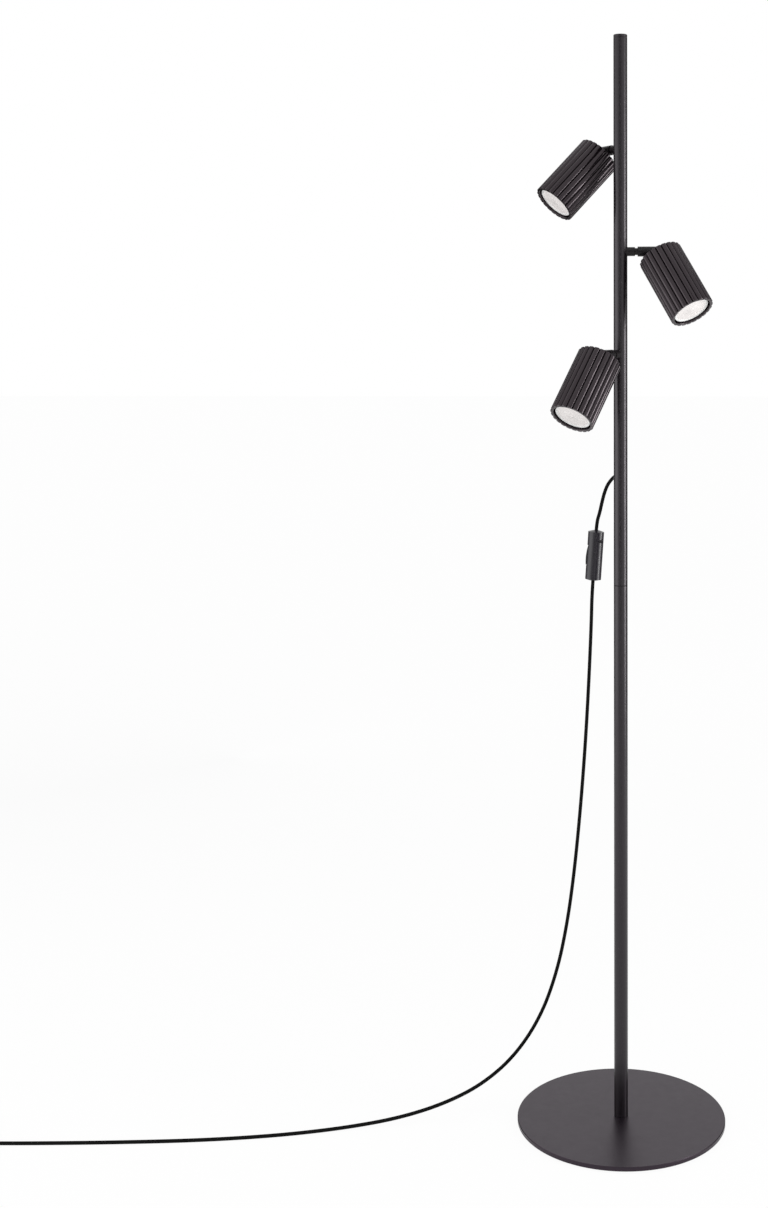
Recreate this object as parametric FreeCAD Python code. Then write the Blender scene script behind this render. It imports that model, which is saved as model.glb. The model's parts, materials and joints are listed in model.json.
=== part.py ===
"""Tree floor lamp: round base, two-part pole, three ribbed spot heads on short swivel arms.

All sizes are in millimetres and all angles in degrees. The origin is on the floor under the
pole's axis, +Z is up, +X is to the right of someone who looks along +Y.
"""

import FreeCAD, Part
import math
import os

os.makedirs("parts", exist_ok=True)
V = FreeCAD.Vector
X_AXIS = V(1, 0, 0)
Y_AXIS = V(0, 1, 0)
Z_AXIS = V(0, 0, 1)

# Clearances
seat_gap = 0.05
running_gap = 0.05
side_gap = 0.2

# Base plate, its pads and its bolt
base_diameter = 287.0
base_thickness = 6.0
base_edge_chamfer = 0.8
pad_count = 6
pad_diameter = 18.0
pad_height = 1.5
pad_inset = 14.0
bolt_diameter = 8.0
bolt_head_diameter = 15.6
bolt_hole_gap = 0.3
bolt_grip = 22.0
bolt_key_width = 5.0
bolt_key_depth = 2.6

# Pole
pole_diameter = 19.0
pole_wall = 1.2
lower_tube_length = 736.5
upper_tube_length = 751.5
tube_end_chamfer = 0.3
foot_insert_length = 30.0
joint_socket_length = 34.0
joint_plug_length = 22.0
joint_stud_diameter = 12.0
joint_stud_length = 20.0
cap_thickness = 4.5
cap_plug_length = 10.0
cap_edge_radius = 1.2

# Arms: drops from the pole's top, directions and the angles at which they stand in the photograph
arm_names = ["top", "middle", "bottom"]
arm_drops = [156.0, 297.0, 438.0]
arm_azimuths = [120.0, 0.0, 240.0]
swivel_angles = [44.7, -28.8, -5.2]
tilt_angles = [88.1, 64.4, 52.0]

insert_length = 16.0
insert_wire_bore = 7.0
stub_inner_end = 4.2
spigot_diameter = 8.0
flange_diameter = 12.4
flange_reach = 10.4
spindle_diameter = 9.6
spindle_length = 20.1
stub_wire_bore = 5.0
edge_chamfer = 0.35

arm_diameter = 13.8
arm_mouth_gap = 3.6
arm_end_gap = 0.6
arm_web = 4.4
fork_slot_width = 5.0
fork_slot_depth = 6.0
grub_diameter = 4.0
grub_tip_diameter = 2.6
grub_offset = 3.5
grub_sink = 0.25
grub_key_width = 2.0
grub_key_depth = 1.1
groove_width = 3.6
groove_depth = 1.2

pivot_diameter = 4.0
pivot_head_diameter = 7.0
pivot_head_height = 1.7
pivot_head_sink = 0.3
pivot_tip_skin = 1.5
pivot_key_width = 2.5
pivot_key_depth = 1.0

# Heads
head_setback = 7.5
head_length = 98.0
head_crest_diameter = 62.0
rib_count = 22
rib_depth = 2.8
rib_end_chamfer = 0.7
head_bore_diameter = 52.8
cap_sink = 0.8
rear_cap_thickness = 4.0
rear_cap_gap = 0.3
shoulder_thickness = 4.0
shoulder_bore_diameter = 39.0
tongue_width = 10.0

head_screw_diameter = 3.0
head_screw_head_diameter = 5.5
head_screw_length = 8.0
head_screw_key_width = 2.0
head_screw_key_depth = 0.9
shell_screw_count = 3

bracket_width = 10.0
bracket_sheet = 1.2
bracket_height = 25.7
bracket_span = 24.4
bracket_foot_length = 6.4
bracket_foot_screw_inset = 2.9
bracket_wire_hole = 8.0

holder_diameter = 27.0
holder_length = 14.0
holder_floor = 4.5
holder_screw_radius = 8.9
holder_pin_hole = 5.6
holder_pin_hole_depth = 8.0

lamp_diameter = 49.4
lamp_length = 50.2
lamp_seat_gap = 0.3
lamp_neck_diameter = 27.0
lamp_collar_length = 8.0
lamp_rim_length = 9.0
lamp_rim_width = 1.5
lens_thickness = 2.0
lens_sink = 0.6
pin_spacing = 10.0
pin_stem_diameter = 2.4
pin_head_diameter = 4.8
pin_length = 6.6
pin_head_length = 2.0

# Cord
cord_diameter = 5.0
exit_rise = 147.5
exit_azimuth = 100.0
relief_length = 18.0
relief_root_diameter = 9.0
relief_tip_diameter = 6.4
relief_collar_diameter = 11.0
relief_collar_thickness = 1.6
relief_neck_diameter = 8.0
relief_inner_lip = 1.5
wire_diameter = 2.0
wire_spacing = 4.4
wire_bend_radius = 3.0
splice_diameter = 3.8
splice_length = 14.0
splice_rise = 22.0

# In-line switch, hung in the cord
switch_top = V(-34.3, 56.0, 812.3)
switch_lean = V(-4.8, -0.6, -71.0)
switch_length = 71.2
switch_diameter = 22.5
switch_cone_length = 2.0
switch_cone_diameter = 9.0
switch_wall = 2.2
switch_parting_gap = 0.06
rocker_length = 27.0
rocker_width = 9.8
rocker_window_gap = 0.3
rocker_end_gap = 1.0
rocker_crown = 1.3
rocker_proud = 0.9
rocker_depth = 3.0
rocker_tilt = 4.0
rocker_axle_diameter = 2.4
rocker_axle_inset = 5.2
rocker_hub_depth = 1.8
rocker_bearing_width = 2.0
switch_screw_diameter = 2.5
switch_screw_head_diameter = 4.4
switch_screw_head_height = 1.6
switch_screw_sink = 0.6
switch_screw_offset = 8.5
switch_screw_rise = 21.0
switch_boss_diameter = 5.2
contact_block_length = 9.0
contact_block_width = 9.0
contact_block_depth = 9.0
contact_strip_thickness = 0.8
contact_strip_width = 5.0
contact_gap = 2.4
contact_wall_gap = 0.25

# Put-away coil, its tie and the plug
coil_inner_radius = 22.2
coil_pitch = 5.6
coil_layer_step = 5.6
coil_turns_in = 2.0
coil_turns_out = 2.25
tie_thickness = 0.9
tie_width = 6.0
tie_gap = 0.5
tie_floor_gap = 0.1
tie_azimuth = 20.0
plug_relief_length = 18.0
plug_relief_diameter = 8.4
plug_length = 36.0
plug_width = 34.0
plug_thickness = 14.0
plug_shoulder_length = 12.0
plug_neck_width = 13.0
plug_edge_radius = 1.8
plug_pin_diameter = 4.0
plug_pin_length = 19.0
plug_pin_spacing = 18.6
plug_pin_root = 5.0

# Routes of the cord: hand-chosen corners, which the cord passes on the inner side
cord_lead = 12.0
exit_lead = 8.0
upper_route = [
    V(-9.0, 42.9, 889.2),
    V(-13.5, 50.2, 884.0),
    V(-18.8, 55.0, 876.0),
    V(-23.2, 57.2, 864.2),
    V(-26.5, 57.2, 851.0),
    V(-29.5, 56.7, 837.0),
]
lower_route = [
    V(-41.4, 54.9, 684.0),
    V(-44.3, 53.9, 615.0),
    V(-48.0, 52.7, 544.0),
    V(-52.8, 51.2, 472.0),
    V(-58.8, 49.4, 400.0),
    V(-66.0, 47.2, 328.5),
    V(-75.5, 44.4, 259.0),
    V(-89.5, 40.2, 192.0),
    V(-112.5, 33.4, 129.0),
    V(-148.5, 22.6, 77.0),
    V(-194.0, 8.9, 41.5),
    V(-246.0, -6.7, 20.5),
    V(-306.0, -24.7, 8.0),
    V(-372.0, -44.6, 3.4),
    V(-442.0, -64.6, 2.5),
    V(-513.0, -80.0, 2.5),
    V(-585.0, -90.8, 2.5),
    V(-658.0, -98.1, 2.5),
    V(-729.0, -103.8, 2.5),
    V(-796.0, -108.2, 2.5),
    V(-843.0, -111.3, 2.9),
    V(-873.0, -112.2, 3.5),
    V(-897.0, -112.2, 3.5),
]
tail_route = [
    V(-937.6, -51.0, 8.6),
    V(-940.0, -38.0, 7.5),
    V(-943.0, -25.0, 7.0),
    V(-944.6, -13.0, 7.0),
]

# Sizes that follow from the ones above
base_top = pad_height + base_thickness
pole_radius = pole_diameter / 2
tube_bore_radius = pole_radius - pole_wall
plug_radius = tube_bore_radius - seat_gap
seam_height = base_top + lower_tube_length
tube_top = seam_height + upper_tube_length
pole_height = tube_top + cap_thickness
arm_heights = [pole_height - drop for drop in arm_drops]
exit_height = seam_height + exit_rise
spigot_radius = spigot_diameter / 2
flange_end = pole_radius + flange_reach
spindle_radius = spindle_diameter / 2
spindle_end = flange_end + spindle_length
arm_radius = arm_diameter / 2
arm_start = flange_end + arm_mouth_gap
arm_bore_radius = spindle_radius + running_gap
arm_bore_end = spindle_end + arm_end_gap
slot_floor = arm_bore_end + arm_web
pivot_reach = slot_floor + fork_slot_depth
grub_place = arm_start + grub_offset
groove_radius = spindle_radius - groove_depth
pivot_radius = pivot_diameter / 2
tongue_thickness = fork_slot_width - 2 * side_gap
cap_rear = head_setback + cap_sink
cap_front = cap_rear + rear_cap_thickness
shoulder_end = cap_front + shoulder_thickness
head_end = head_setback + head_length
crest_radius = head_crest_diameter / 2
head_bore_radius = head_bore_diameter / 2
rear_cap_radius = head_bore_radius - rear_cap_gap
shell_screw_circle = (head_bore_radius + shoulder_bore_diameter / 2) / 2
bracket_top = cap_front + bracket_height
holder_end = bracket_top + holder_length
foot_screw_place = bracket_span / 2 + bracket_foot_length - bracket_foot_screw_inset
lamp_start = holder_end + lamp_seat_gap
lamp_end = lamp_start + lamp_length
lens_radius = lamp_diameter / 2 - lamp_rim_width - seat_gap
lens_front = lamp_end - lens_sink
cord_radius = cord_diameter / 2
wire_radius = wire_diameter / 2
exit_direction = V(math.cos(math.radians(exit_azimuth)), math.sin(math.radians(exit_azimuth)), 0)
relief_end = exit_direction * (pole_radius + relief_length) + V(0, 0, exit_height)
switch_down = V(switch_lean).normalize()
switch_bottom = switch_top + switch_down * switch_length
switch_radius = switch_diameter / 2
switch_cavity_radius = switch_radius - switch_wall


def rod(radius, start, end, axis=X_AXIS, through=V(0, 0, 0)):
    """A round bar along an axis, from one distance along it to another."""
    return Part.makeCylinder(radius, end - start, through + axis * start, axis)


def block(low, high):
    """A box between two corners."""
    return Part.makeBox(high[0] - low[0], high[1] - low[1], high[2] - low[2], V(*low))


def turned(outline, axis=X_AXIS):
    """A lathe-turned solid: the outline's points are (distance along the axis, radius)."""
    side = Z_AXIS if axis == X_AXIS else X_AXIS
    points = [axis * along + side * radius for along, radius in outline]
    face = Part.Face(Part.makePolygon(points + points[:1]))
    return face.revolve(V(0, 0, 0), axis, 360)


def key_socket(width, depth, start, axis):
    """A hexagonal key's recess, open at start and sunk along the axis."""
    across = Y_AXIS if abs(axis.y) < 0.5 else X_AXIS
    second = axis.cross(across)
    corner_radius = width / math.sqrt(3)
    corners = []
    for corner in range(6):
        angle = math.radians(60 * corner)
        corners.append(start + (across * math.cos(angle) + second * math.sin(angle)) * corner_radius)
    return Part.Face(Part.makePolygon(corners + corners[:1])).extrude(axis * depth)


def arc_between(start, corner, end):
    """The arc that touches both runs at start and end, which lie equally far from the corner."""
    chord_middle = (start + end) * 0.5
    half_turn = (corner - start).getAngle(end - corner) / 2
    middle = corner + (chord_middle - corner) * (1 / (1 + math.cos(half_turn)))
    return Part.Arc(start, middle, end).toShape()


def swept(edges, diameter, label):
    """A round tube along a path of tangent edges, with its volume compared with its length's."""
    path = Part.Wire(edges)
    start = edges[0].valueAt(edges[0].FirstParameter)
    direction = edges[0].tangentAt(edges[0].FirstParameter)
    section = Part.Wire(Part.makeCircle(diameter / 2, start, direction))
    tube = path.makePipeShell([section], True, False)
    expected = math.pi * diameter ** 2 / 4 * path.Length
    print(label, "length %.1f mm, volume / (section x length) %.5f" % (path.Length, tube.Volume / expected))
    return tube


def routed_tube(points, diameter, label, bend_radius=None, arc_share=0.45):
    """A tube of straight runs joined by tangent arcs, each as large as its two runs allow.

    An arc takes arc_share of the shorter run, so that two arcs never meet on one run.
    """
    edges = []
    radii = []
    place = points[0]
    for before, corner, after in zip(points, points[1:], points[2:]):
        half_turn = (corner - before).getAngle(after - corner) / 2
        reach = arc_share * min((corner - before).Length, (after - corner).Length)
        if bend_radius:
            reach = bend_radius * math.tan(half_turn)
        radii.append(reach / math.tan(half_turn))
        arc_start = corner + (before - corner).normalize() * reach
        arc_end = corner + (after - corner).normalize() * reach
        edges.append(Part.LineSegment(place, arc_start).toShape())
        edges.append(arc_between(arc_start, corner, arc_end))
        place = arc_end
    edges.append(Part.LineSegment(place, points[-1]).toShape())
    print(label, "radii:", " ".join("%.0f" % radius for radius in radii))
    return swept(edges, diameter, label)


def biarc(start, start_direction, end, end_direction):
    """Two tangent arcs from one point and direction to another."""
    span = end - start
    both = start_direction + end_direction
    slack = 2 * (1 - start_direction.dot(end_direction))
    along = span.dot(both)
    reach = (math.sqrt(along ** 2 + slack * span.dot(span)) - along) / slack
    first_corner = start + start_direction * reach
    last_corner = end - end_direction * reach
    joint = (first_corner + last_corner) * 0.5
    return [arc_between(start, first_corner, joint), arc_between(joint, last_corner, end)]


def arm_place(index):
    """The frame of an arm: its X axis runs out of the pole along the arm."""
    turn = FreeCAD.Rotation(Z_AXIS, arm_azimuths[index])
    return FreeCAD.Placement(V(0, 0, arm_heights[index]), turn)


def swivel_place(index):
    """The frame of a swivel arm, turned about the arm's line as in the photograph."""
    return arm_place(index) * FreeCAD.Placement(V(0, 0, 0), FreeCAD.Rotation(X_AXIS, swivel_angles[index]))


def head_place(index):
    """The frame of a head: its origin is on the pivot and its X axis runs out of the lamp's face."""
    tilt = FreeCAD.Placement(V(pivot_reach, 0, 0), FreeCAD.Rotation(Y_AXIS, tilt_angles[index]))
    return swivel_place(index) * tilt


def placed(shape, place):
    """A copy of the shape, moved to its place."""
    return shape.transformed(place.toMatrix(), True)


def save(name, shape):
    """Writes one node's solids."""
    solids = shape.Solids
    kept = solids[0] if len(solids) == 1 else Part.makeCompound(solids)
    if not kept.isValid():
        raise ValueError(name + " is not a valid solid")
    kept.exportStep("parts/" + name + ".step")
    print(name, "solids %d, volume %.1f mm3" % (len(solids), sum(solid.Volume for solid in solids)))


def base_plate():
    rim = base_diameter / 2
    plate = turned([
        (pad_height, 0),
        (pad_height, rim - base_edge_chamfer),
        (pad_height + base_edge_chamfer, rim),
        (base_top - base_edge_chamfer, rim),
        (base_top, rim - base_edge_chamfer),
        (base_top, 0),
    ], Z_AXIS)
    return plate.cut(bolt_form(bolt_hole_gap))


def bolt_form(gap):
    """The countersunk bolt's form, larger all round by the gap where it cuts its hole."""
    shank = bolt_diameter / 2 + gap
    head = bolt_head_diameter / 2 + gap
    top = base_top + bolt_grip
    return turned([
        (pad_height - gap, 0),
        (pad_height - gap, head),
        (pad_height + head - shank, shank),
        (top - edge_chamfer, shank),
        (top, shank - edge_chamfer),
        (top, 0),
    ], Z_AXIS)


def base_bolt():
    return bolt_form(0).cut(key_socket(bolt_key_width, bolt_key_depth, V(0, 0, pad_height), Z_AXIS))


def base_pads():
    circle = base_diameter / 2 - pad_inset - pad_diameter / 2
    pads = []
    for number in range(pad_count):
        angle = math.radians(360 / pad_count * (number + 0.5))
        centre = V(circle * math.cos(angle), circle * math.sin(angle), 0)
        pads.append(Part.makeCylinder(pad_diameter / 2, pad_height, centre))
    return Part.makeCompound(pads)


def foot_insert():
    plug = Part.makeCylinder(plug_radius, foot_insert_length, V(0, 0, base_top))
    return plug.cut(Part.makeCylinder(bolt_diameter / 2 + seat_gap, foot_insert_length, V(0, 0, base_top)))


def pole_tube(bottom, top):
    """A length of the pole, with its outer edges broken so that the seam shows as a fine line."""
    return turned([
        (bottom, tube_bore_radius),
        (bottom, pole_radius - tube_end_chamfer),
        (bottom + tube_end_chamfer, pole_radius),
        (top - tube_end_chamfer, pole_radius),
        (top, pole_radius - tube_end_chamfer),
        (top, tube_bore_radius),
    ], Z_AXIS)


def upper_tube():
    tube = pole_tube(seam_height, tube_top)
    for index in range(len(arm_names)):
        tube = tube.cut(placed(rod(spigot_radius + seat_gap, 0, pole_diameter), arm_place(index)))
    neck = rod(relief_neck_diameter / 2 + seat_gap, 0, pole_diameter, exit_direction, V(0, 0, exit_height))
    return tube.cut(neck)


def joint_socket():
    bottom = seam_height - joint_socket_length
    socket = Part.makeCylinder(plug_radius, joint_socket_length, V(0, 0, bottom))
    thread = Part.makeCylinder(joint_stud_diameter / 2 + seat_gap, joint_socket_length, V(0, 0, bottom))
    return socket.cut(thread)


def joint_nipple():
    plug = Part.makeCylinder(plug_radius, joint_plug_length, V(0, 0, seam_height))
    stud_bottom = V(0, 0, seam_height - joint_stud_length)
    return plug.fuse(Part.makeCylinder(joint_stud_diameter / 2, joint_stud_length, stud_bottom))


def pole_cap():
    top = turned([
        (tube_top, 0),
        (tube_top, pole_radius - tube_end_chamfer),
        (tube_top + tube_end_chamfer, pole_radius),
        (pole_height, pole_radius),
        (pole_height, 0),
    ], Z_AXIS)
    rim = [edge for edge in top.Edges if edge.BoundBox.ZMin > pole_height - tube_end_chamfer]
    top = top.makeFillet(cap_edge_radius, [edge for edge in rim if edge.Length > pole_radius])
    return top.fuse(Part.makeCylinder(plug_radius, cap_plug_length, V(0, 0, tube_top - cap_plug_length)))


def pole_inserts():
    inserts = []
    for index, height in enumerate(arm_heights):
        plug = Part.makeCylinder(plug_radius, insert_length, V(0, 0, height - insert_length / 2))
        bore = Part.makeCylinder(insert_wire_bore / 2, insert_length, V(0, 0, height - insert_length / 2))
        thread = placed(rod(spigot_radius + seat_gap, 0, pole_diameter), arm_place(index))
        inserts.append(plug.cut(bore).cut(thread))
    return Part.makeCompound(inserts)


def arm_stub():
    bore = stub_wire_bore / 2
    flange_radius = flange_diameter / 2
    groove_start = grub_place - groove_width / 2
    groove_end = grub_place + groove_width / 2
    spine = turned([
        (stub_inner_end, bore),
        (stub_inner_end, spigot_radius),
        (flange_end - edge_chamfer, spigot_radius),
        (flange_end - edge_chamfer, spindle_radius),
        (groove_start, spindle_radius),
        (groove_start, groove_radius),
        (groove_end, groove_radius),
        (groove_end, spindle_radius),
        (spindle_end - edge_chamfer, spindle_radius),
        (spindle_end, spindle_radius - edge_chamfer),
        (spindle_end, bore),
    ])
    flange = turned([
        (pole_radius / 2, bore),
        (pole_radius / 2, flange_radius),
        (flange_end - edge_chamfer, flange_radius),
        (flange_end, flange_radius - edge_chamfer),
        (flange_end, bore),
    ])
    saddle = Part.makeCylinder(pole_radius + seat_gap, 2 * flange_diameter, V(0, 0, -flange_diameter))
    return spine.fuse(flange.cut(saddle)).removeSplitter()


def swivel_arm():
    bar = turned([
        (arm_start, arm_bore_radius),
        (arm_start, arm_radius - edge_chamfer),
        (arm_start + edge_chamfer, arm_radius),
        (pivot_reach + arm_radius, arm_radius),
        (pivot_reach + arm_radius, 0),
        (slot_floor, 0),
        (slot_floor, stub_wire_bore / 2),
        (arm_bore_end, stub_wire_bore / 2),
        (arm_bore_end, arm_bore_radius),
    ])
    beyond = arm_diameter
    pivot = V(pivot_reach, 0, 0)
    straight = block((0, -beyond, -beyond), (pivot_reach, beyond, beyond))
    rounded = rod(arm_radius, -beyond, beyond, Y_AXIS, pivot)
    bar = bar.common(straight.fuse(rounded))
    slot_half = fork_slot_width / 2
    bar = bar.cut(block((slot_floor, -slot_half, -beyond), (pivot_reach + beyond, slot_half, beyond)))
    for cutter in (pivot_form(seat_gap), grub_form(seat_gap)):
        bar = bar.cut(cutter)
    counterbore_radius = pivot_head_diameter / 2 + side_gap
    return bar.cut(rod(counterbore_radius, -beyond, -pivot_head_seat(), Y_AXIS, pivot))


def pivot_head_seat():
    """How far the seat of the pivot screw's head lies from the arm's middle."""
    return arm_radius - pivot_head_sink - pivot_head_height


def pivot_form(gap):
    """The pivot screw's form along local Y, larger all round by the gap where it cuts its hole."""
    centre = V(pivot_reach, 0, 0)
    head_top = arm_radius - pivot_head_sink
    tip = arm_radius - pivot_tip_skin
    head = rod(pivot_head_diameter / 2 + gap, -head_top, -pivot_head_seat(), Y_AXIS, centre)
    return head.fuse(rod(pivot_radius + gap, -pivot_head_seat(), tip + gap, Y_AXIS, centre))


def pivot_screw():
    start = V(pivot_reach, pivot_head_sink - arm_radius, 0)
    return pivot_form(0).cut(key_socket(pivot_key_width, pivot_key_depth, start, Y_AXIS))


def grub_form(gap):
    """The grub screw's form along local Y, with its tip in the stub's groove."""
    centre = V(grub_place, 0, 0)
    outer = arm_radius - grub_sink
    body = rod(grub_diameter / 2 + gap, -outer - (arm_radius if gap else 0), -arm_bore_radius, Y_AXIS, centre)
    tip_end = groove_radius + grub_sink
    return body.fuse(rod(grub_tip_diameter / 2, -arm_bore_radius, -tip_end, Y_AXIS, centre))


def grub_screw():
    start = V(grub_place, grub_sink - arm_radius, 0)
    return grub_form(0).cut(key_socket(grub_key_width, grub_key_depth, start, Y_AXIS))


def head_screw_form(gap):
    """A countersunk screw along local X with the flat of its head at the origin."""
    shank = head_screw_diameter / 2 + gap
    head = head_screw_head_diameter / 2 + gap
    return turned([
        (-gap, 0),
        (-gap, head),
        (head - shank, shank),
        (head_screw_length, shank),
        (head_screw_length, 0),
    ])


def head_screw_places():
    """Where the head's screws start, and the direction in which each is driven."""
    places = []
    for number in range(shell_screw_count):
        angle = math.radians(90 + 360 / shell_screw_count * number)
        outward = V(0, math.cos(angle), math.sin(angle))
        places.append((X_AXIS * cap_rear + outward * shell_screw_circle, 1))
    for side in (-1, 1):
        places.append((V(cap_rear, 0, side * foot_screw_place), 1))
        places.append((V(bracket_top + holder_floor, 0, side * holder_screw_radius), -1))
    return places


def head_screw_solids(gap, socket):
    """All the head's screws, or the holes for them."""
    solids = []
    for start, direction in head_screw_places():
        screw = head_screw_form(gap)
        if socket:
            screw = screw.cut(key_socket(head_screw_key_width, head_screw_key_depth, V(0, 0, 0), X_AXIS))
        if direction < 0:
            screw = placed(screw, FreeCAD.Placement(V(0, 0, 0), FreeCAD.Rotation(Z_AXIS, 180)))
        solids.append(placed(screw, FreeCAD.Placement(start, FreeCAD.Rotation())))
    return solids


def drilled(shape):
    """The shape with the holes that the head's screws need."""
    for hole in head_screw_solids(seat_gap, False):
        shape = shape.cut(hole)
    return shape


def ribbed_face(crest, valley, count, at):
    """The head's outline: rounded ribs side by side, each one arc from valley to valley."""
    step = 2 * math.pi / count
    arcs = []
    for number in range(count):
        angles = [step * number, step * (number + 0.5), step * (number + 1)]
        start, top, end = [
            V(at, radius * math.cos(angle), radius * math.sin(angle))
            for angle, radius in zip(angles, (valley, crest, valley))
        ]
        arcs.append(Part.Arc(start, top, end).toShape())
    return Part.Face(Part.Wire(arcs))


def head_shell():
    ribs = ribbed_face(crest_radius, crest_radius - rib_depth, rib_count, head_setback)
    shell = ribs.extrude(X_AXIS * head_length)
    slope = rib_end_chamfer + rib_depth
    shell = shell.common(turned([
        (head_setback, 0),
        (head_setback, crest_radius - rib_end_chamfer),
        (head_setback + slope, crest_radius + rib_depth),
        (head_end - slope, crest_radius + rib_depth),
        (head_end, crest_radius - rib_end_chamfer),
        (head_end, 0),
    ]))
    shell = shell.cut(turned([
        (head_setback, 0),
        (head_setback, head_bore_radius),
        (cap_front, head_bore_radius),
        (cap_front, shoulder_bore_diameter / 2),
        (shoulder_end, shoulder_bore_diameter / 2),
        (shoulder_end, head_bore_radius),
        (head_end, head_bore_radius),
        (head_end, 0),
    ]))
    return drilled(shell)


def rear_cap():
    disc = rod(rear_cap_radius, cap_rear, cap_front)
    half_thickness = tongue_thickness / 2
    half_width = tongue_width / 2
    tongue = block((0, -half_thickness, -half_width), (cap_rear + seat_gap, half_thickness, half_width))
    tongue = tongue.fuse(rod(half_width, -half_thickness, half_thickness, Y_AXIS))
    cap = disc.fuse(tongue).removeSplitter()
    cap = cap.cut(rod(pivot_radius + running_gap, -tongue_width, tongue_width, Y_AXIS))
    return drilled(cap)


def holder_bracket():
    half_width = bracket_width / 2
    half_span = bracket_span / 2
    foot_end = half_span + bracket_foot_length
    bridge_start = bracket_top - bracket_sheet
    bracket = block((bridge_start, -half_width, -half_span), (bracket_top, half_width, half_span))
    for side in (-1, 1):
        inner, outer = sorted((side * (half_span - bracket_sheet), side * half_span))
        bracket = bracket.fuse(block((cap_front, -half_width, inner), (bracket_top, half_width, outer)))
        inner, outer = sorted((side * (half_span - bracket_sheet), side * foot_end))
        foot_top = cap_front + bracket_sheet
        bracket = bracket.fuse(block((cap_front, -half_width, inner), (foot_top, half_width, outer)))
    bracket = bracket.removeSplitter().cut(rod(bracket_wire_hole / 2, foot_top, holder_end))
    return drilled(bracket)


def lamp_holder():
    radius = holder_diameter / 2
    holder = turned([
        (bracket_top, 0),
        (bracket_top, radius),
        (holder_end - edge_chamfer, radius),
        (holder_end, radius - edge_chamfer),
        (holder_end, 0),
    ])
    pin_hole_end = holder_end - holder_pin_hole_depth
    well = head_screw_head_diameter / 2 + seat_gap
    for side in (-1, 1):
        pin_line = V(0, side * pin_spacing / 2, 0)
        holder = holder.cut(rod(holder_pin_hole / 2, pin_hole_end, holder_end, X_AXIS, pin_line))
        screw_line = V(0, 0, side * holder_screw_radius)
        holder = holder.cut(rod(well, bracket_top + holder_floor, holder_end, X_AXIS, screw_line))
    return drilled(holder)


def lamp_body():
    rim = lamp_diameter / 2
    neck = lamp_neck_diameter / 2
    rim_start = lamp_end - lamp_rim_length
    body = turned([
        (lamp_start, 0),
        (lamp_start, neck - edge_chamfer),
        (lamp_start + edge_chamfer, neck),
        (lamp_start + lamp_collar_length, neck),
        (rim_start, rim),
        (lamp_end - edge_chamfer, rim),
        (lamp_end, rim - edge_chamfer),
        (lamp_end, rim - lamp_rim_width),
        (lens_front - lens_thickness, rim - lamp_rim_width),
        (lens_front - lens_thickness, 0),
    ])
    for side in (-1, 1):
        line = V(0, side * pin_spacing / 2, 0)
        tip = lamp_start - pin_length
        body = body.fuse(rod(pin_stem_diameter / 2, tip, lamp_start, X_AXIS, line))
        body = body.fuse(rod(pin_head_diameter / 2, tip, tip + pin_head_length, X_AXIS, line))
    return body.removeSplitter()


def lamp_lens():
    return turned([
        (lens_front - lens_thickness, 0),
        (lens_front - lens_thickness, lens_radius),
        (lens_front - edge_chamfer, lens_radius),
        (lens_front, lens_radius - edge_chamfer),
        (lens_front, 0),
    ])


def strain_relief():
    """The moulded relief: a lip inside the tube, a neck in its hole, a collar and a tapered nose."""
    neck = relief_neck_diameter / 2
    inner = tube_bore_radius - seat_gap
    collar_end = pole_radius + relief_collar_thickness
    relief = turned([
        (inner - relief_inner_lip, 0),
        (inner - relief_inner_lip, neck),
        (collar_end, neck),
        (pole_radius + relief_length, relief_tip_diameter / 2),
        (pole_radius + relief_length, 0),
    ])
    nose = turned([
        (collar_end - relief_collar_thickness / 2, 0),
        (collar_end - relief_collar_thickness / 2, relief_root_diameter / 2),
        (pole_radius + relief_length, relief_tip_diameter / 2),
        (pole_radius + relief_length, 0),
    ])
    collar = rod(relief_collar_diameter / 2, 0, collar_end)
    collar = collar.cut(Part.makeCylinder(pole_radius + seat_gap, 2 * pole_diameter, V(0, 0, -pole_diameter)))
    relief = relief.fuse(nose).fuse(collar).removeSplitter()
    turn = FreeCAD.Rotation(Z_AXIS, exit_azimuth)
    return placed(relief, FreeCAD.Placement(V(0, 0, exit_height), turn))


def wire_lines():
    """Where each of the two supply wires leaves the cord's end and where it rises."""
    across = exit_direction.cross(Z_AXIS)
    start = exit_direction * (tube_bore_radius - seat_gap - relief_inner_lip) + V(0, 0, exit_height)
    lines = []
    for side in (-1, 1):
        rise = across * (side * wire_spacing / 2)
        lines.append((start + rise, rise))
    return lines


def supply_wires():
    wires = []
    for core, rise in wire_lines():
        top = arm_heights[0] + insert_length / 2
        corner = V(rise.x, rise.y, exit_height)
        points = [core, corner, V(rise.x, rise.y, top)]
        wires.append(routed_tube(points, wire_diameter, "supply wire", wire_bend_radius))
    return Part.makeCompound(wires)


def wire_splices():
    splices = []
    for core, rise in wire_lines():
        bottom = V(rise.x, rise.y, exit_height + splice_rise)
        sleeve = Part.makeCylinder(splice_diameter / 2, splice_length, bottom)
        splices.append(sleeve.cut(Part.makeCylinder(wire_radius + seat_gap, splice_length, bottom)))
    return Part.makeCompound(splices)


def switch_place():
    """The switch's frame: its Z axis points up along the body, its -X side holds the rocker."""
    up = switch_down * -1
    turn = FreeCAD.Rotation(X_AXIS, V(0, 0, 0), up, "ZXY")
    return FreeCAD.Placement((switch_top + switch_bottom) * 0.5, turn)


def switch_screw_lines():
    """The two screws stand at opposite corners, on the side away from the rocker."""
    return [V(0, -switch_screw_offset, switch_screw_rise), V(0, switch_screw_offset, -switch_screw_rise)]


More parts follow.
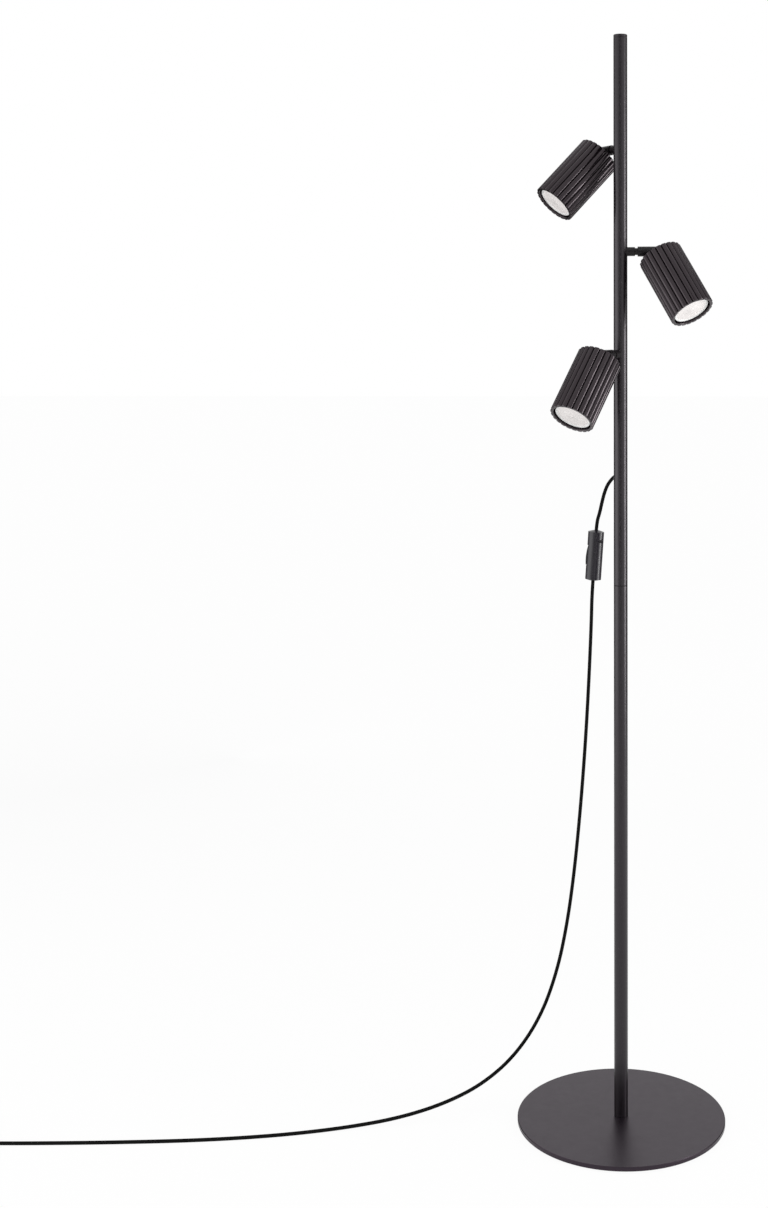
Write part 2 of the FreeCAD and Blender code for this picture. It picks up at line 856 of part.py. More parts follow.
def switch_screw_form(line, gap):
    """A switch screw along local X, larger all round by the gap where it cuts its hole."""
    surface = math.sqrt(switch_radius ** 2 - switch_screw_offset ** 2)
    seat = surface - switch_screw_sink - switch_screw_head_height
    head_end = switch_radius if gap else seat + switch_screw_head_height
    head = rod(switch_screw_head_diameter / 2 + gap, seat, head_end, X_AXIS, line)
    return head.fuse(rod(switch_screw_diameter / 2 + gap, -seat, seat, X_AXIS, line))


def switch_screws():
    screws = [switch_screw_form(line, 0) for line in switch_screw_lines()]
    return placed(Part.makeCompound(screws), switch_place())


def rocker_axle_line():
    return V(rocker_axle_inset - switch_radius, 0, 0)


def switch_body():
    """Both half shells as one hollow body, before the parting cut."""
    half = switch_length / 2
    straight = half - switch_cone_length
    outer = turned([
        (-half, 0),
        (-half, switch_cone_diameter / 2),
        (-straight, switch_radius),
        (straight, switch_radius),
        (half, switch_cone_diameter / 2),
        (half, 0),
    ], Z_AXIS)
    hollow = straight - switch_wall
    body = outer.cut(rod(switch_cavity_radius, -hollow, hollow, Z_AXIS))
    for line in switch_screw_lines():
        boss = rod(switch_boss_diameter / 2, -switch_radius, switch_radius, X_AXIS, line)
        body = body.fuse(boss.common(rod(switch_radius - seat_gap, -straight, straight, Z_AXIS)))
    window_half = rocker_width / 2 + rocker_window_gap
    axle = rocker_axle_line()
    depth = switch_wall + rocker_hub_depth
    for side in (-1, 1):
        near, far = sorted((side * window_half, side * (window_half + rocker_bearing_width)))
        bearing = block((-switch_radius, near, -depth), (axle.x + depth, far, depth))
        body = body.fuse(bearing.common(rod(switch_radius - seat_gap, -straight, straight, Z_AXIS)))
    for line in switch_screw_lines():
        body = body.cut(switch_screw_form(line, seat_gap))
    window_end = rocker_length / 2 + rocker_end_gap
    body = body.cut(block((-switch_diameter, -window_half, -window_end), (axle.x, window_half, window_end)))
    bearing_reach = window_half + rocker_bearing_width
    hole = rod(rocker_axle_diameter / 2 + running_gap, -bearing_reach, bearing_reach, Y_AXIS, axle)
    return body.cut(hole)


def switch_half(side):
    """The half shell on the -X side, with the rocker's window, or the one on the +X side."""
    size = switch_length
    gap = switch_parting_gap / 2
    if side < 0:
        keep = block((-size, -size, -size), (-gap, size, size))
    else:
        keep = block((gap, -size, -size), (size, size, size))
    return placed(switch_body().common(keep), switch_place())


def switch_rocker():
    half = rocker_length / 2
    face = -switch_radius - rocker_proud
    end_face = face + rocker_crown
    back = end_face + rocker_depth
    axle = rocker_axle_line()
    hub = axle.x + rocker_hub_depth
    crown = Part.Arc(V(end_face, 0, half), V(face, 0, 0), V(end_face, 0, -half)).toShape()
    sides = Part.makePolygon([
        V(end_face, 0, -half),
        V(back, 0, -half),
        V(back, 0, -rocker_depth),
        V(hub, 0, -rocker_hub_depth),
        V(hub, 0, rocker_hub_depth),
        V(back, 0, rocker_depth),
        V(back, 0, half),
        V(end_face, 0, half),
    ])
    profile = Part.Face(Part.Wire([crown] + sides.Edges))
    profile.translate(V(0, -rocker_width / 2, 0))
    body = profile.extrude(V(0, rocker_width, 0))
    axle_reach = rocker_width / 2 + rocker_window_gap + rocker_bearing_width - side_gap
    body = body.fuse(rod(rocker_axle_diameter / 2, -axle_reach, axle_reach, Y_AXIS, axle))
    tipped = FreeCAD.Placement(V(0, 0, 0), FreeCAD.Rotation(Y_AXIS, rocker_tilt), axle)
    return placed(body, switch_place() * tipped)


def switch_contacts():
    """Two terminal blocks, each with a contact strip that reaches under the rocker."""
    half_width = contact_block_width / 2
    outer = math.sqrt((switch_cavity_radius - contact_wall_gap) ** 2 - half_width ** 2)
    end = switch_length / 2 - switch_cone_length - switch_wall - contact_wall_gap
    parts = []
    for side in (-1, 1):
        low, high = sorted((side * (end - contact_block_length), side * end))
        terminal = block((outer - contact_block_depth, -half_width, low), (outer, half_width, high))
        inner, reach = sorted((side * (end - contact_block_length), side * contact_gap / 2))
        strip_back = outer - contact_block_depth + contact_strip_thickness
        strip = block(
            (outer - contact_block_depth, -contact_strip_width / 2, inner),
            (strip_back, contact_strip_width / 2, reach),
        )
        parts.append(terminal.fuse(strip).removeSplitter())
    return placed(Part.makeCompound(parts), switch_place())


def coil_radius(turn):
    """The centreline's radius, spiralling in to the reversal at turn 0 and out again after it."""
    if abs(turn) > math.pi / 2:
        grown = abs(turn)
    else:
        grown = turn ** 2 / math.pi + math.pi / 4
    return coil_inner_radius + coil_pitch * grown / (2 * math.pi)


def coil_height(turn):
    """The centreline climbs one layer in the half turn where the spiral reverses."""
    share = min(max(turn / math.pi + 0.5, 0), 1)
    return coil_layer_step * share ** 2 * (3 - 2 * share)


coil_start_turn = -2 * math.pi * coil_turns_in
coil_end_turn = 2 * math.pi * coil_turns_out
coil_entry = lower_route[-1]
coil_start = coil_entry + V(-cord_diameter, 0, 0)
coil_entry_slant = math.atan(coil_pitch / (2 * math.pi) / coil_radius(coil_start_turn))
coil_start_angle = -math.pi / 2 + coil_entry_slant
coil_start_side = V(math.cos(coil_start_angle), math.sin(coil_start_angle), 0)
coil_centre = coil_start - coil_start_side * coil_radius(coil_start_turn)


def coil_point(turn):
    """A point of the coil's centreline, which runs clockwise seen from above."""
    angle = coil_start_angle - (turn - coil_start_turn)
    radius = coil_radius(turn)
    return coil_centre + V(radius * math.cos(angle), radius * math.sin(angle), coil_height(turn))


def coil_direction(turn):
    """The centreline's direction at a point of the coil."""
    step = 0.0001
    low = max(turn - step, coil_start_turn)
    high = min(turn + step, coil_end_turn)
    return (coil_point(high) - coil_point(low)).normalize()


coil_exit = coil_point(coil_end_turn) + coil_direction(coil_end_turn) * cord_diameter


def coil_steps(count):
    """The turns at which the coil's centreline is divided into a number of equal steps."""
    whole = coil_end_turn - coil_start_turn
    return [coil_start_turn + whole * step / count for step in range(count + 1)]


def coil_least_gap(samples=720):
    """The least gap of the wound cord to itself, measured on points of its centreline."""
    turns = coil_steps(samples)
    points = [coil_point(turn) for turn in turns]
    least = min(
        (points[i] - points[j]).Length
        for i in range(len(points))
        for j in range(i + 1, len(points))
        if turns[j] - turns[i] > math.pi
    )
    return least - cord_diameter


def cord_coil():
    turns = coil_steps(round((coil_turns_in + coil_turns_out) * 4))
    edges = [Part.LineSegment(coil_entry, coil_start).toShape()]
    for before, after in zip(turns, turns[1:]):
        edges += biarc(coil_point(before), coil_direction(before), coil_point(after), coil_direction(after))
    edges.append(Part.LineSegment(coil_point(coil_end_turn), coil_exit).toShape())
    print("coil's least gap to itself %.2f mm" % coil_least_gap())
    return swept(edges, cord_diameter, "cord_coil")


def coil_tie():
    """A strap round all the turns at one place."""
    angle = math.radians(tie_azimuth)
    crossings = []
    turn = coil_start_turn + (coil_start_angle - angle) % (2 * math.pi)
    while turn < coil_end_turn:
        crossings.append(turn)
        turn += 2 * math.pi
    radii = [coil_radius(turn) for turn in crossings]
    half = cord_radius + tie_gap
    low = coil_centre.z - cord_radius - tie_floor_gap
    high = coil_centre.z + coil_layer_step + half
    half_width = tie_width / 2
    inner = block((min(radii) - half, -half_width, low), (max(radii) + half, half_width, high))
    wall = tie_thickness
    outer = block(
        (min(radii) - half - wall, -half_width, low - wall),
        (max(radii) + half + wall, half_width, high + wall),
    )
    cross_edges = [edge for edge in outer.Edges if edge.BoundBox.YLength > half_width]
    outer = outer.makeFillet(wall + tie_gap, cross_edges)
    ring = outer.cut(inner)
    place = FreeCAD.Placement(V(coil_centre.x, coil_centre.y, 0), FreeCAD.Rotation(Z_AXIS, tie_azimuth))
    return placed(ring, place)


def plug_place():
    """The plug's frame: its origin is at the cord's end and its X axis points to the pins."""
    forward = (tail_route[-1] - tail_route[-2]).normalize()
    turn = FreeCAD.Rotation(forward, V(0, 0, 0), Z_AXIS, "XZY")
    return FreeCAD.Placement(tail_route[-1], turn)


def plug_pin_lines():
    return [V(0, side * plug_pin_spacing / 2, 0) for side in (-1, 1)]


def plug_body():
    half_neck = plug_neck_width / 2
    half_width = plug_width / 2
    shoulder = plug_relief_length + plug_shoulder_length
    end = plug_relief_length + plug_length
    outline = [
        V(plug_relief_length, -half_neck, 0),
        V(shoulder, -half_width, 0),
        V(end, -half_width, 0),
        V(end, half_width, 0),
        V(shoulder, half_width, 0),
        V(plug_relief_length, half_neck, 0),
    ]
    face = Part.Face(Part.makePolygon(outline + outline[:1]))
    face.translate(V(0, 0, -plug_thickness / 2))
    body = face.extrude(V(0, 0, plug_thickness))
    body = body.makeFillet(plug_edge_radius, body.Edges)
    relief = turned([
        (0, 0),
        (0, cord_radius + plug_edge_radius / 2),
        (plug_relief_length + plug_edge_radius, plug_relief_diameter / 2),
        (plug_relief_length + plug_edge_radius, 0),
    ])
    body = body.fuse(relief).removeSplitter()
    for line in plug_pin_lines():
        body = body.cut(rod(plug_pin_diameter / 2 + seat_gap, end - plug_pin_root, end, X_AXIS, line))
    return placed(body, plug_place())


def plug_pins():
    end = plug_relief_length + plug_length
    radius = plug_pin_diameter / 2
    pins = []
    for line in plug_pin_lines():
        pin = rod(radius, end - plug_pin_root, end + plug_pin_length - radius, X_AXIS, line)
        tip = Part.makeSphere(radius, line + X_AXIS * (end + plug_pin_length - radius))
        pins.append(placed(pin.fuse(tip).removeSplitter(), plug_place()))
    return Part.makeCompound(pins)


def cord_upper():
    exit_points = [relief_end, relief_end + exit_direction * exit_lead]
    points = exit_points + upper_route + [switch_top - switch_down * cord_lead, switch_top]
    return routed_tube(points, cord_diameter, "cord_upper")


def cord_lower():
    lead = switch_bottom + switch_down * (2 * cord_lead)
    return routed_tube([switch_bottom, lead] + lower_route, cord_diameter, "cord_lower")


def cord_tail():
    lead = coil_exit + coil_direction(coil_end_turn) * cord_lead
    return routed_tube([coil_exit, lead] + tail_route, cord_diameter, "cord_tail")


save("base_plate", base_plate())
save("base_pads", base_pads())
save("base_bolt", base_bolt())
save("foot_insert", foot_insert())
save("lower_tube", pole_tube(base_top, seam_height))
save("joint_socket", joint_socket())
save("joint_nipple", joint_nipple())
save("upper_tube", upper_tube())
save("pole_cap", pole_cap())
save("pole_inserts", pole_inserts())
save("strain_relief", strain_relief())
save("supply_wires", supply_wires())
save("wire_splices", wire_splices())

arm_pieces = {"arm_stub": arm_stub()}
swivel_pieces = {
    "swivel_arm": swivel_arm(),
    "grub_screw": grub_screw(),
    "pivot_screw": pivot_screw(),
}
head_pieces = {
    "rear_cap": rear_cap(),
    "head_shell": head_shell(),
    "head_screws": Part.makeCompound(head_screw_solids(0, True)),
    "holder_bracket": holder_bracket(),
    "lamp_holder": lamp_holder(),
    "lamp_body": lamp_body(),
    "lamp_lens": lamp_lens(),
}
piece_groups = [(arm_pieces, arm_place), (swivel_pieces, swivel_place), (head_pieces, head_place)]
for arm_number, arm_name in enumerate(arm_names):
    for pieces, place_of in piece_groups:
        for piece_name, piece in pieces.items():
            save(piece_name + "_" + arm_name, placed(piece, place_of(arm_number)))

save("cord_upper", cord_upper())
save("switch_front_shell", switch_half(-1))
save("switch_back_shell", switch_half(1))
save("switch_rocker", switch_rocker())
save("switch_screws", switch_screws())
save("switch_contacts", switch_contacts())
save("cord_lower", cord_lower())
save("cord_coil", cord_coil())
save("coil_tie", coil_tie())
save("cord_tail", cord_tail())
save("plug_body", plug_body())
save("plug_pins", plug_pins())
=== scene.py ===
"""Tree floor lamp: its finishes, its cords and ribbed heads, and a plain studio to see it in.

Everything is in metres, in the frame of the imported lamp: the origin is on the floor under the
pole's axis, +Z is up and +X is to the right of someone who looks along +Y.
"""

import json
import math

import bmesh
import bpy
from bpy.props import FloatProperty, FloatVectorProperty, IntProperty, PointerProperty
from mathutils import Matrix, Vector


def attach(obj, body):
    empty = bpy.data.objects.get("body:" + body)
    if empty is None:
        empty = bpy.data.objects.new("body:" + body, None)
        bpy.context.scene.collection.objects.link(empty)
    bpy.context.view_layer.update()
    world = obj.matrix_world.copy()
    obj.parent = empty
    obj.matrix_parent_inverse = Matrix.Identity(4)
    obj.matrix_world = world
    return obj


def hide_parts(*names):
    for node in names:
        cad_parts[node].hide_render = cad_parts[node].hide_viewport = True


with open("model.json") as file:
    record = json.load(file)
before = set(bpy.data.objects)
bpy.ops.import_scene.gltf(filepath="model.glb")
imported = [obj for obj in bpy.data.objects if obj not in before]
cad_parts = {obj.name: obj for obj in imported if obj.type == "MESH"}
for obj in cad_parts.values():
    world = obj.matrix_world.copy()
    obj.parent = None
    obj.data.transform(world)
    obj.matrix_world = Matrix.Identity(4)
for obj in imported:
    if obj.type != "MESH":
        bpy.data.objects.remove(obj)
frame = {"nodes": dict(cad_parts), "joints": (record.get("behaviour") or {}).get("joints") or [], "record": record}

bl_info = {
    "name": "Tree floor lamp",
    "version": (1, 0, 0),
    "blender": (4, 5, 0),
    "location": "3D View > Sidebar > Tree lamp",
    "description": "Finishes a floor lamp with three ribbed spot heads",
    "category": "Object",
}

BODIES = frame["record"]["behaviour"]["bodies"]
BODY_OF = {node: body for body, nodes in BODIES.items() for node in nodes}
SLOT_OF = {part["node"]: part["material_slot"] for part in frame["record"]["subparts"]}
JOINTS = {joint["name"]: joint for joint in frame["joints"]}
ARM_NAMES = [name.removeprefix("swivel_") for name in JOINTS if name.startswith("swivel_")]
TURN = 2 * math.pi

# How fine the meshes are: edges along one rib, edges round a turned form, points in a turn of
# the coil, how near points are merged, and the angle from which an edge is sharp
RIB_STEPS = 12
LATHE_STEPS = 96
COIL_STEPS = 20
MERGE_DISTANCE = 0.000001
SHARP_ANGLE = math.radians(35)

# The finishes: what their names start with, the two values of a noise between which a colour
# changes, and the painted shade in the gap between the pole's two tubes: its height and width
FINISH = "finish_"
CLOUD_EDGES = (0.3, 0.7)
SEAM_HEIGHT = 0.744
SEAM_WIDTH = 0.001

# The raised mark in the middle of a lens: its radius at the foot and on top
GATE_FOOT_RADIUS = 0.0006
GATE_TOP_RADIUS = 0.0004

# The studio: half of the floor's width, the light from all round, and how white the floor looks
FLOOR_REACH = 20
WORLD_STRENGTH = 0.8
WHITE_SHARE = 0.94

# The camera: its place, its turn to the right, downwards and about its own axis, its lens, and
# how far the middle of the picture lies off that axis
CAMERA_PLACE = (0, -2.3141, 1.1204)
CAMERA_YAW = math.radians(-2.945)
CAMERA_PITCH = math.radians(1.091)
CAMERA_ROLL = math.radians(-0.1)
SENSOR_WIDTH = 36
FOCAL_LENGTH = 50.13
PICTURE_HEIGHT = 1208
SHIFT_X = -150 / PICTURE_HEIGHT
SHIFT_Y = -260 / PICTURE_HEIGHT

# Where the cord enters the in-line switch, and which way the switch hangs
SWITCH_TOP = Vector((-0.0343, 0.0560, 0.8123))
SWITCH_DOWN = Vector((-4.8, -0.6, -71.0)).normalized()

# The cord's route from the strain relief to the switch, from the switch to the coil, and from
# the coil to the plug
UPPER_ROUTE = [
    (-0.0090, 0.0429, 0.8892),
    (-0.0135, 0.0502, 0.8840),
    (-0.0188, 0.0550, 0.8760),
    (-0.0232, 0.0572, 0.8642),
    (-0.0265, 0.0572, 0.8510),
    (-0.0295, 0.0567, 0.8370),
]
LOWER_ROUTE = [
    (-0.0414, 0.0549, 0.6840),
    (-0.0443, 0.0539, 0.6150),
    (-0.0480, 0.0527, 0.5440),
    (-0.0528, 0.0512, 0.4720),
    (-0.0588, 0.0494, 0.4000),
    (-0.0660, 0.0472, 0.3285),
    (-0.0755, 0.0444, 0.2590),
    (-0.0895, 0.0402, 0.1920),
    (-0.1125, 0.0334, 0.1290),
    (-0.1485, 0.0226, 0.0770),
    (-0.1940, 0.0089, 0.0415),
    (-0.2460, -0.0067, 0.0205),
    (-0.3060, -0.0247, 0.0080),
    (-0.3720, -0.0446, 0.0034),
    (-0.4420, -0.0646, 0.0025),
    (-0.5130, -0.0800, 0.0025),
    (-0.5850, -0.0908, 0.0025),
    (-0.6580, -0.0981, 0.0025),
    (-0.7290, -0.1038, 0.0025),
    (-0.7960, -0.1082, 0.0025),
    (-0.8430, -0.1113, 0.0029),
    (-0.8730, -0.1122, 0.0035),
    (-0.8970, -0.1122, 0.0035),
]
TAIL_ROUTE = [
    (-0.9376, -0.0510, 0.0086),
    (-0.9400, -0.0380, 0.0075),
    (-0.9430, -0.0250, 0.0070),
    (-0.9446, -0.0130, 0.0070),
]


def size(name, description, default):
    """A length in metres that a user may change."""
    return FloatProperty(
        name=name, description=description, default=default, unit="LENGTH", precision=4
    )


def angle(name, description, degrees):
    """An angle that a user may change."""
    return FloatProperty(
        name=name, description=description, default=math.radians(degrees), unit="ROTATION"
    )


def tint(name, description, red, green, blue):
    """A colour that a user may change."""
    return FloatVectorProperty(
        name=name, description=description, default=(red, green, blue), subtype="COLOR",
        min=0, max=1,
    )


class LAMP_PG_heads(bpy.types.PropertyGroup):
    """Sizes of the ribbed heads and of the lenses in them."""

    setback: size("Setback", "From the pivot to the rear of the shell", 0.0075)
    length: size("Length", "Shell from rear to front", 0.098)
    crest_diameter: size("Crest diameter", "Across the ribs", 0.062)
    rib_depth: size("Rib depth", "From a rib's crest to the groove beside it", 0.0028)
    rib_count: IntProperty(name="Ribs", description="Ribs round one shell", default=22, min=6)
    bore_diameter: size("Bore", "Inside of the shell round the lamp", 0.0528)
    rear_bore_length: size("Rear bore", "Length of the bore that holds the rear cap", 0.0048)
    shoulder_thickness: size("Shoulder", "Thickness of the inner shoulder", 0.004)
    shoulder_bore: size("Shoulder bore", "Opening in the inner shoulder", 0.039)
    rib_end: size("Rib end", "How far the ribs' ends are drawn in", 0.0007)
    rim_edge: size("Rim edge", "Broken edge of the bore at its two ends", 0.0004)
    lens_back: size("Lens back", "From the pivot to the lens's back", 0.0999)
    lens_front: size("Lens front", "From the pivot to the lens's front", 0.1019)
    lens_radius: size("Lens radius", "Half of the lens's width", 0.02315)
    lens_band: size("Lens band", "Width of the clear outer band of the lens", 0.0014)
    lens_step: size("Lens step", "How far the frosted middle lies behind the band", 0.00025)


class LAMP_PG_cord(bpy.types.PropertyGroup):
    """Sizes of the cord, its coil and its strain relief."""

    diameter: size("Diameter", "Thickness of the cord", 0.005)
    pole_radius: size("Pole radius", "Half of the pole's width", 0.0095)
    exit_height: size("Exit height", "Height at which the cord leaves the pole", 0.8915)
    exit_azimuth: angle("Exit direction", "Direction in which the cord leaves the pole", 100)
    relief_length: size("Strain relief", "How far it stands out of the pole", 0.018)
    exit_lead: size("Exit lead", "Straight cord outside the strain relief", 0.008)
    switch_lead: size("Switch lead", "Straight cord above the switch; twice as much below", 0.012)
    switch_length: size("Switch length", "Length of the in-line switch", 0.0712)
    coil_inner_radius: size("Coil radius", "Middle of the coil's innermost turn", 0.0222)
    coil_pitch: size("Coil pitch", "Step from one turn to the next", 0.0056)
    coil_turns_in: FloatProperty(
        name="Turns in", description="Turns that spiral in", default=2.0
    )
    coil_turns_out: FloatProperty(
        name="Turns out", description="Turns that spiral out again", default=2.25
    )
    coil_lead: size("Coil lead", "Straight cord where it leaves the coil", 0.012)


class LAMP_PG_colours(bpy.types.PropertyGroup):
    """Colours of the finishes."""

    coat: tint("Coat", "Powder coat of the base and pole", 0.0055, 0.0038, 0.0055)
    head_coat: tint("Head coat", "Powder coat of the heads and arms", 0.0055, 0.0035, 0.005)
    cord: tint("Cord", "Jacket of the cord", 0.003, 0.003, 0.003)
    switch: tint("Switch", "Shells of the in-line switch", 0.011, 0.0085, 0.014)
    lens: tint("Lens", "Frosted middle of the lamps", 0.82, 0.785, 0.77)
    lamp: tint("Lamp", "Housing of the lamps and band of their lenses", 0.88, 0.88, 0.87)
    floor: tint("Floor", "Paper that the lamp stands on", 0.95, 0.95, 0.95)


def new_material(name, colour, roughness, metallic=0.0, **sockets):
    """A material whose even values stand on the shader's own sockets.

    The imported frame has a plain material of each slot's name, so finishes get names of their own.
    """
    material = bpy.data.materials.new(FINISH + name)
    material.use_nodes = True
    shader = material.node_tree.nodes["Principled BSDF"]
    shader.inputs["Base Color"].default_value = (*colour, 1)
    shader.inputs["Roughness"].default_value = roughness
    shader.inputs["Metallic"].default_value = metallic
    for socket, value in sockets.items():
        shader.inputs[socket.replace("_", " ")].default_value = value
    return material


def noise(material, grain, detail=2.0, stretch=(1, 1, 1)):
    """Noise with grains of a real size, on the piece's own coordinates."""
    nodes = material.node_tree.nodes
    links = material.node_tree.links
    coordinates = nodes.new("ShaderNodeTexCoord")
    mapping = nodes.new("ShaderNodeMapping")
    mapping.inputs["Scale"].default_value = stretch
    texture = nodes.new("ShaderNodeTexNoise")
    texture.inputs["Scale"].default_value = 1 / grain
    texture.inputs["Detail"].default_value = detail
    links.new(coordinates.outputs["Object"], mapping.inputs["Vector"])
    links.new(mapping.outputs["Vector"], texture.inputs["Vector"])
    return texture.outputs["Fac"]


def vary_colour(material, source, darker, lighter):
    """Lets the base colour wander between a darker and a lighter share of itself."""
    nodes = material.node_tree.nodes
    links = material.node_tree.links
    shader = nodes["Principled BSDF"]
    colour = shader.inputs["Base Color"].default_value
    ramp = nodes.new("ShaderNodeValToRGB")
    stops = zip(ramp.color_ramp.elements, CLOUD_EDGES, (darker, lighter))
    for stop, position, share in stops:
        stop.position = position
        stop.color = (*[min(part * share, 1) for part in colour[:3]], 1)
    links.new(source, ramp.inputs["Fac"])
    links.new(ramp.outputs["Color"], shader.inputs["Base Color"])


def vary_roughness(material, source, low, high):
    """Lets the roughness wander between two values."""
    nodes = material.node_tree.nodes
    links = material.node_tree.links
    spread = nodes.new("ShaderNodeMapRange")
    spread.inputs["To Min"].default_value = low
    spread.inputs["To Max"].default_value = high
    links.new(source, spread.inputs["Value"])
    links.new(spread.outputs["Result"], nodes["Principled BSDF"].inputs["Roughness"])


def raise_grain(material, source, height, strength):
    """Adds the surface's fine relief, whose height is a real size."""
    nodes = material.node_tree.nodes
    links = material.node_tree.links
    bump = nodes.new("ShaderNodeBump")
    bump.inputs["Strength"].default_value = strength
    bump.inputs["Distance"].default_value = height
    links.new(source, bump.inputs["Height"])
    links.new(bump.outputs["Normal"], nodes["Principled BSDF"].inputs["Normal"])


def paint_seam_shade(material, height, width):
    """Painted shade: paints the narrow gap between the pole's two tubes black at their broken edges, and dulls it.
    """
    nodes = material.node_tree.nodes
    links = material.node_tree.links
    shader = nodes["Principled BSDF"]
    coordinates = nodes.new("ShaderNodeTexCoord")
    parts = nodes.new("ShaderNodeSeparateXYZ")
    near = nodes.new("ShaderNodeMath")
    near.operation = "COMPARE"
    near.inputs[1].default_value = height
    near.inputs[2].default_value = width / 2
    links.new(coordinates.outputs["Object"], parts.inputs[0])
    links.new(parts.outputs["Z"], near.inputs[0])
    # The painted shade is black, and the roughness there is full
    for socket, kind, dark in (("Base Color", "RGBA", (0, 0, 0, 1)), ("Roughness", "FLOAT", 1.0)):
        mix = nodes.new("ShaderNodeMix")
        mix.data_type = kind
        clear, shaded = [plug for plug in mix.inputs if plug.enabled and plug.name in ("A", "B")]
        shaded.default_value = dark
        links.new(near.outputs[0], mix.inputs["Factor"])
        links.new(shader.inputs[socket].links[0].from_socket, clear)
        links.new(next(plug for plug in mix.outputs if plug.enabled), shader.inputs[socket])


def powder_coat(name, colour, roughness, specular=0.5, gloss_tint=(1, 1, 1)):
    """Baked powder coat: fine orange-peel grain, with slight cloudiness in colour and gloss."""
    material = new_material(
        name, colour, roughness, Specular_IOR_Level=specular, Specular_Tint=(*gloss_tint, 1)
    )
    vary_colour(material, noise(material, grain=0.035, detail=4), darker=0.9, lighter=1.12)
    vary_roughness(
        material, noise(material, grain=0.012, detail=3),
        low=roughness - 0.04, high=roughness + 0.05,
    )
    raise_grain(material, noise(material, grain=0.0009, detail=3), height=0.00003, strength=0.5)
    return material


def moulded_plastic(name, colour, roughness):
    """Moulded plastic with a faint flow texture."""
    material = new_material(name, colour, roughness)
    vary_colour(material, noise(material, grain=0.008, detail=3), darker=0.92, lighter=1.08)
    vary_roughness(
        material, noise(material, grain=0.004, detail=3),
        low=roughness - 0.03, high=roughness + 0.04,
    )
    raise_grain(material, noise(material, grain=0.0015), height=0.00001, strength=0.4)


def rubber(name, colour, roughness, specular=0.4):
    """Soft jacket material with a dull, slightly pebbled skin."""
    material = new_material(name, colour, roughness, Specular_IOR_Level=specular)
    vary_colour(material, noise(material, grain=0.01, detail=3), darker=0.85, lighter=1.2)
    vary_roughness(
        material, noise(material, grain=0.005), low=roughness - 0.06, high=roughness + 0.06
    )
    raise_grain(material, noise(material, grain=0.0007, detail=3), height=0.00002, strength=0.6)


def bare_metal(name, colour, roughness, stretch=(1, 1, 1)):
    """Turned or plated metal with fine tool marks."""
    material = new_material(name, colour, roughness, metallic=1.0)
    vary_colour(material, noise(material, grain=0.004, detail=4), darker=0.85, lighter=1.1)
    vary_roughness(
        material, noise(material, grain=0.0015, detail=3, stretch=stretch),
        low=roughness - 0.06, high=roughness + 0.1,
    )
    raise_grain(
        material, noise(material, grain=0.0004, detail=2, stretch=stretch),
        height=0.000008, strength=0.5,
    )


def milk_glass(name, colour, roughness):
    """Frosted opal face of a lamp."""
    material = new_material(name, colour, roughness)
    vary_colour(material, noise(material, grain=0.02, detail=2), darker=0.985, lighter=1.01)
    raise_grain(material, noise(material, grain=0.0006, detail=2), height=0.000003, strength=0.1)


def woven_strap(name, colour, roughness):
    """Brushed hook-and-loop strap."""
    material = new_material(name, colour, roughness, Sheen_Weight=0.4, Sheen_Roughness=0.6)
    vary_colour(material, noise(material, grain=0.0007, detail=3), darker=0.6, lighter=1.5)
    raise_grain(material, noise(material, grain=0.0005, detail=4), height=0.00015, strength=0.8)


def studio_cloth(name, colour):
    """Dull paper or cloth of the stage."""
    return new_material(name, colour, roughness=0.9, Specular_IOR_Level=0.1)


def make_materials(colours):
    """One material for each of the record's slots, and one for the lenses' clear band."""
    powder_coat("base_coat", colours.coat, roughness=0.36, specular=0.48, gloss_tint=(1, 0.78, 1))
    pole = powder_coat(
        "pole_coat", colours.coat, roughness=0.3, specular=0.55, gloss_tint=(1, 0.94, 1)
    )
    # Painted shade: a black band where the pole's two tubes meet
    paint_seam_shade(pole, SEAM_HEIGHT, SEAM_WIDTH)
    powder_coat("arm_coat", colours.head_coat, roughness=0.42, specular=0.3)
    powder_coat(
        "head_coat", colours.head_coat, roughness=0.2, specular=0.55, gloss_tint=(1, 0.86, 0.93)
    )
    moulded_plastic("lens_band", colours.lamp, roughness=0.3)
    rubber("pad_rubber", (0.02, 0.02, 0.02), roughness=0.8)
    bare_metal("zinc_steel", (0.55, 0.56, 0.58), roughness=0.35)
    bare_metal("turned_steel", (0.5, 0.5, 0.5), roughness=0.3, stretch=(1, 1, 12))
    bare_metal("screw_steel", (0.05, 0.05, 0.052), roughness=0.4)
    rubber("relief_rubber", (0.012, 0.012, 0.012), roughness=0.55)
    moulded_plastic("wire_sleeve", (0.16, 0.06, 0.03), roughness=0.4)
    moulded_plastic("splice_nylon", (0.75, 0.74, 0.7), roughness=0.45)
    moulded_plastic("holder_ceramic", (0.85, 0.83, 0.78), roughness=0.25)
    moulded_plastic("lamp_white", colours.lamp, roughness=0.3)
    milk_glass("lens_opal", colours.lens, roughness=0.42)
    rubber("cord_jacket", colours.cord, roughness=0.6, specular=0.08)
    moulded_plastic("switch_plastic", colours.switch, roughness=0.28)
    moulded_plastic("rocker_plastic", (0.01, 0.01, 0.012), roughness=0.35)
    bare_metal("contact_brass", (0.72, 0.52, 0.22), roughness=0.3)
    woven_strap("tie_plastic", (0.012, 0.012, 0.012), roughness=0.9)
    moulded_plastic("plug_plastic", (0.01, 0.01, 0.01), roughness=0.4)
    bare_metal("pin_nickel", (0.7, 0.68, 0.62), roughness=0.22)


def material_of(slot):
    """The finish of a slot, which the finishes' operator has made."""
    return bpy.data.materials[FINISH + slot]


def add_object(name, data):
    """Puts a mesh, curve, light or camera into the scene."""
    added = bpy.data.objects.new(name, data)
    bpy.context.scene.collection.objects.link(added)
    return added


def add_piece(name, mesh, *nodes):
    """Shows a finished mesh in place of the CAD nodes, on their body and with the slots that the mesh already has.
    """
    piece = add_object(name, mesh)
    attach(piece, BODY_OF[nodes[0]])
    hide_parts(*nodes)


